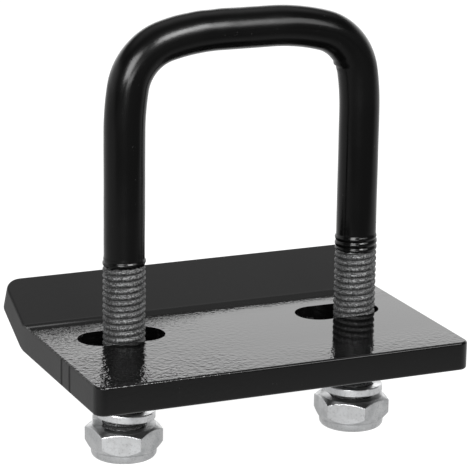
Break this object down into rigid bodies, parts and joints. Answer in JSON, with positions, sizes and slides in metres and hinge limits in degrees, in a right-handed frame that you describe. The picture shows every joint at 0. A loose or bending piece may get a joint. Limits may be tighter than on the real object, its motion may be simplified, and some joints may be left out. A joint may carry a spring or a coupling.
{
  "type": "u-bolt hitch clamp",
  "caption": "Square-bend U-bolt with a sleeved bar, sliding through a slotted bent clamp plate and held by lock washers and nylon-insert lock nuts.",
  "frame": {"origin": "midway between the two legs' axes, on the clamp plate's clamping face", "axes": "+X along the plate from the left leg to the right leg, +Y towards the plate's bent-up flange, +Z along the legs up to the crown"},
  "size_m": [0.1098, 0.0792, 0.1239],
  "materials": {
    "rolled_steel": "dull rolled thread",
    "black_sleeve": "smooth glossy shrink tube",
    "black_powder_coat": "glossy powder coat with orange peel",
    "zinc_washer": "bright zinc plate",
    "zinc_nut": "bright zinc plate",
    "nylon": "plain moulded nylon"
  },
  "bodies": {
    "u_bolt": {"u_bolt_bar": "rolled_steel", "shrink_sleeve": "black_sleeve"},
    "left_washer": {"left_lock_washer": "zinc_washer"},
    "right_washer": {"right_lock_washer": "zinc_washer"},
    "left_nut": {"left_lock_nut": "zinc_nut", "left_nylon_insert": "nylon"},
    "right_nut": {"right_lock_nut": "zinc_nut", "right_nylon_insert": "nylon"},
    "plate": {"clamp_plate": "black_powder_coat"}
  },
  "joints": [
    {"name": "left_nut_turn", "type": "hinge", "parent": "left_washer", "child": "left_nut", "pos_m": [-0.03525, 0, -0.03], "axis": [0, 0, 1], "range_deg": [-2520, 7920]},
    {"name": "right_nut_turn", "type": "hinge", "parent": "right_washer", "child": "right_nut", "pos_m": [0.03525, 0, -0.03], "axis": [0, 0, 1], "range_deg": [-2520, 7920]},
    {"name": "left_nut_travel", "type": "slide", "parent": "u_bolt", "child": "left_washer", "axis": [0, 0, 1], "range_m": [-0.01225, 0.0385]},
    {"name": "right_nut_travel", "type": "slide", "parent": "u_bolt", "child": "right_washer", "axis": [0, 0, 1], "range_m": [-0.01225, 0.0385]},
    {"name": "plate_slide", "type": "slide", "parent": "left_washer", "child": "plate", "axis": [0, 0, 1], "range_m": [-0.0119, 0.015]}
  ],
  "couplings": [
    {"joint": "left_nut_travel", "follows": "left_nut_turn", "m_per_rad": 0.00027852},
    {"joint": "right_nut_travel", "follows": "left_nut_turn", "m_per_rad": 0.00027852},
    {"joint": "right_nut_turn", "follows": "left_nut_turn", "ratio": 1}
  ]
}
